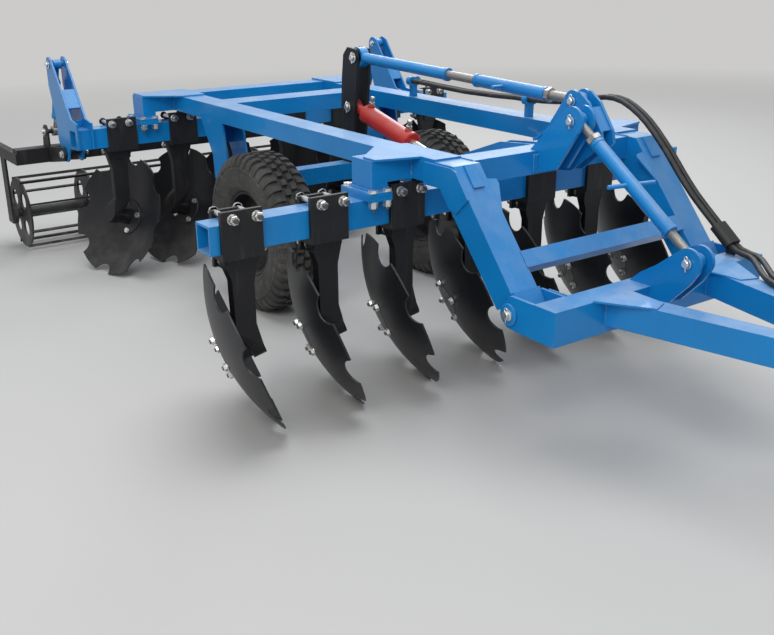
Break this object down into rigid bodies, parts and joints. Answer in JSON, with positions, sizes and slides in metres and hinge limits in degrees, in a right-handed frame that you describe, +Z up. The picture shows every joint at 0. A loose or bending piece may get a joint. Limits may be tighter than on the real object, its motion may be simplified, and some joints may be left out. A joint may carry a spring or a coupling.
{
  "type": "trailed disc harrow",
  "caption": "Trailed disc harrow: two rows of notched discs on single stands, wheels on a swing axle, a hinged drawbar and a bar roller.",
  "frame": {"origin": "middle of the hitch eye's bore", "axes": "+X forward along the direction of travel, +Y to the left, +Z up"},
  "size_m": [5.082, 2.6762, 1.197],
  "materials": {
    "blue_paint": "gloss",
    "black_paint": "satin",
    "disc_steel": "satin",
    "red_paint": "gloss",
    "rim_paint": "satin",
    "tyre": "matt",
    "hose_rubber": "satin",
    "chrome": "polished",
    "zinc": "satin"
  },
  "bodies": {
    "frame": {"main_frame": "blue_paint", "front_gang_tube": "blue_paint", "rear_gang_tube": "blue_paint", "front_stands": "black_paint", "rear_stands": "black_paint", "front_tower": "blue_paint", "rear_towers": "blue_paint", "hose_posts": "blue_paint", "hose_upper_1": "hose_rubber", "hose_upper_2": "hose_rubber"},
    "front_disc_1": {"front_disc_1": "disc_steel"},
    "rear_disc_1": {"rear_disc_1": "disc_steel"},
    "front_disc_2": {"front_disc_2": "disc_steel"},
    "rear_disc_2": {"rear_disc_2": "disc_steel"},
    "front_disc_3": {"front_disc_3": "disc_steel"},
    "rear_disc_3": {"rear_disc_3": "disc_steel"},
    "front_disc_4": {"front_disc_4": "disc_steel"},
    "rear_disc_4": {"rear_disc_4": "disc_steel"},
    "front_disc_5": {"front_disc_5": "disc_steel"},
    "rear_disc_5": {"rear_disc_5": "disc_steel"},
    "front_disc_6": {"front_disc_6": "disc_steel"},
    "rear_disc_6": {"rear_disc_6": "disc_steel"},
    "front_disc_7": {"front_disc_7": "disc_steel"},
    "rear_disc_7": {"rear_disc_7": "disc_steel"},
    "swing_axle": {"swing_axle": "blue_paint", "lift_lever": "black_paint"},
    "right_wheel": {"right_tyre": "tyre", "right_rim": "rim_paint"},
    "left_wheel": {"left_tyre": "tyre", "left_rim": "rim_paint"},
    "lift_barrel": {"lift_barrel": "red_paint"},
    "lift_piston_rod": {"lift_piston_rod": "chrome"},
    "link_rod": {"link_rod": "blue_paint"},
    "link_tube": {"link_tube": "blue_paint"},
    "drawbar": {"drawbar": "blue_paint", "hose_lower_1": "hose_rubber", "hose_lower_2": "hose_rubber", "hose_holder": "zinc"},
    "parking_stand": {"parking_stand": "zinc"},
    "brace_sleeve": {"brace_sleeve": "blue_paint"},
    "brace_rod": {"brace_rod": "zinc"},
    "roller_frame": {"roller_frame": "black_paint", "roller_brackets": "black_paint"},
    "roller": {"roller": "black_paint"},
    "depth_sleeves": {"depth_sleeves": "blue_paint"},
    "depth_rods": {"depth_rods": "zinc"}
  },
  "joints": [
    {"name": "front_disc_1_spin", "type": "hinge", "parent": "frame", "child": "front_disc_1", "pos_m": [-1.99469, -1.20973, -0.20822], "axis": [0.2885, 0.8879, 0.3584], "continuous": true},
    {"name": "rear_disc_1_spin", "type": "hinge", "parent": "frame", "child": "rear_disc_1", "pos_m": [-4.07869, -0.83027, -0.20822], "axis": [0.2885, -0.8879, 0.3584], "continuous": true},
    {"name": "front_disc_2_spin", "type": "hinge", "parent": "frame", "child": "front_disc_2", "pos_m": [-1.99469, -0.86973, -0.20822], "axis": [0.2885, 0.8879, 0.3584], "continuous": true},
    {"name": "rear_disc_2_spin", "type": "hinge", "parent": "frame", "child": "rear_disc_2", "pos_m": [-4.07869, -0.49027, -0.20822], "axis": [0.2885, -0.8879, 0.3584], "continuous": true},
    {"name": "front_disc_3_spin", "type": "hinge", "parent": "frame", "child": "front_disc_3", "pos_m": [-1.99469, -0.52973, -0.20822], "axis": [0.2885, 0.8879, 0.3584], "continuous": true},
    {"name": "rear_disc_3_spin", "type": "hinge", "parent": "frame", "child": "rear_disc_3", "pos_m": [-4.07869, -0.15027, -0.20822], "axis": [0.2885, -0.8879, 0.3584], "continuous": true},
    {"name": "front_disc_4_spin", "type": "hinge", "parent": "frame", "child": "front_disc_4", "pos_m": [-1.99469, -0.18973, -0.20822], "axis": [0.2885, 0.8879, 0.3584], "continuous": true},
    {"name": "rear_disc_4_spin", "type": "hinge", "parent": "frame", "child": "rear_disc_4", "pos_m": [-4.07869, 0.18973, -0.20822], "axis": [0.2885, -0.8879, 0.3584], "continuous": true},
    {"name": "front_disc_5_spin", "type": "hinge", "parent": "frame", "child": "front_disc_5", "pos_m": [-1.99469, 0.15027, -0.20822], "axis": [0.2885, 0.8879, 0.3584], "continuous": true},
    {"name": "rear_disc_5_spin", "type": "hinge", "parent": "frame", "child": "rear_disc_5", "pos_m": [-4.07869, 0.52973, -0.20822], "axis": [0.2885, -0.8879, 0.3584], "continuous": true},
    {"name": "front_disc_6_spin", "type": "hinge", "parent": "frame", "child": "front_disc_6", "pos_m": [-1.99469, 0.49027, -0.20822], "axis": [0.2885, 0.8879, 0.3584], "continuous": true},
    {"name": "rear_disc_6_spin", "type": "hinge", "parent": "frame", "child": "rear_disc_6", "pos_m": [-4.07869, 0.86973, -0.20822], "axis": [0.2885, -0.8879, 0.3584], "continuous": true},
    {"name": "front_disc_7_spin", "type": "hinge", "parent": "frame", "child": "front_disc_7", "pos_m": [-1.99469, 0.83027, -0.20822], "axis": [0.2885, 0.8879, 0.3584], "continuous": true},
    {"name": "rear_disc_7_spin", "type": "hinge", "parent": "frame", "child": "rear_disc_7", "pos_m": [-4.07869, 1.20973, -0.20822], "axis": [0.2885, -0.8879, 0.3584], "continuous": true},
    {"name": "wheel_lift", "type": "hinge", "parent": "frame", "child": "swing_axle", "pos_m": [-3.48, 0, 0.07], "axis": [0, 1, 0], "range_deg": [-6, 20]},
    {"name": "right_wheel_spin", "type": "hinge", "parent": "swing_axle", "child": "right_wheel", "pos_m": [-3.085, -0.5, -0.13], "axis": [0, 1, 0], "continuous": true},
    {"name": "left_wheel_spin", "type": "hinge", "parent": "swing_axle", "child": "left_wheel", "pos_m": [-3.085, 0.5, -0.13], "axis": [0, 1, 0], "continuous": true},
    {"name": "lift_barrel_tilt", "type": "hinge", "parent": "swing_axle", "child": "lift_barrel", "pos_m": [-3.106, 0.048, 0.408], "axis": [0, 1, 0], "range_deg": [-29.66, 9.11]},
    {"name": "lift_rod_slide", "type": "slide", "parent": "lift_barrel", "child": "lift_piston_rod", "axis": [0.971, 0, -0.2389], "range_m": [-0.1242, 0.0387]},
    {"name": "link_rod_tilt", "type": "hinge", "parent": "frame", "child": "link_rod", "pos_m": [-1.625, 0.048, 0.598], "axis": [0, 1, 0], "range_deg": [-7.43, 2.44]},
    {"name": "link_tube_slide", "type": "slide", "parent": "link_rod", "child": "link_tube", "axis": [-0.9995, 0, 0.0322], "range_m": [-0.1768, 0.0544]},
    {"name": "drawbar_tilt", "type": "hinge", "parent": "frame", "child": "drawbar", "pos_m": [-1.322, 0, -0.021], "axis": [0, 1, 0], "range_deg": [-5, 5]},
    {"name": "parking_stand_slide", "type": "slide", "parent": "drawbar", "child": "parking_stand", "axis": [0, 0, 1], "range_m": [0, 0.3]},
    {"name": "brace_sleeve_tilt", "type": "hinge", "parent": "frame", "child": "brace_sleeve", "pos_m": [-1.525, -0.055, 0.547], "axis": [0, 1, 0], "range_deg": [-1.66, 1.66]},
    {"name": "brace_rod_slide", "type": "slide", "parent": "brace_sleeve", "child": "brace_rod", "axis": [0.8193, 0, -0.5734], "range_m": [-0.0325, 0.0325]},
    {"name": "roller_frame_tilt", "type": "hinge", "parent": "frame", "child": "roller_frame", "pos_m": [-4.18, 0, 0.135], "axis": [0, 1, 0], "range_deg": [-4, 8]},
    {"name": "roller_spin", "type": "hinge", "parent": "roller_frame", "child": "roller", "pos_m": [-4.83, 0, -0.295], "axis": [0, 1, 0], "continuous": true},
    {"name": "depth_sleeve_tilt", "type": "hinge", "parent": "frame", "child": "depth_sleeves", "pos_m": [-4.29, 0, 0.58], "axis": [0, 1, 0], "range_deg": [-0.5, 0.7]},
    {"name": "depth_rod_slide", "type": "slide", "parent": "depth_sleeves", "child": "depth_rods", "axis": [-0.3927, 0, -0.9197], "range_m": [-0.0406, 0.0213]}
  ],
  "couplings": [
    {"joint": "lift_barrel_tilt", "follows": "wheel_lift", "ratio": -1.4682},
    {"joint": "lift_rod_slide", "follows": "wheel_lift", "m_per_rad": -0.35018},
    {"joint": "link_rod_tilt", "follows": "wheel_lift", "ratio": -0.35646},
    {"joint": "link_tube_slide", "follows": "wheel_lift", "m_per_rad": -0.50068},
    {"joint": "brace_sleeve_tilt", "follows": "drawbar_tilt", "ratio": 0.27117},
    {"joint": "brace_rod_slide", "follows": "drawbar_tilt", "m_per_rad": 0.34894},
    {"joint": "depth_sleeve_tilt", "follows": "roller_frame_tilt", "ratio": 0.05056},
    {"joint": "depth_rod_slide", "follows": "roller_frame_tilt", "m_per_rad": -0.27634}
  ]
}
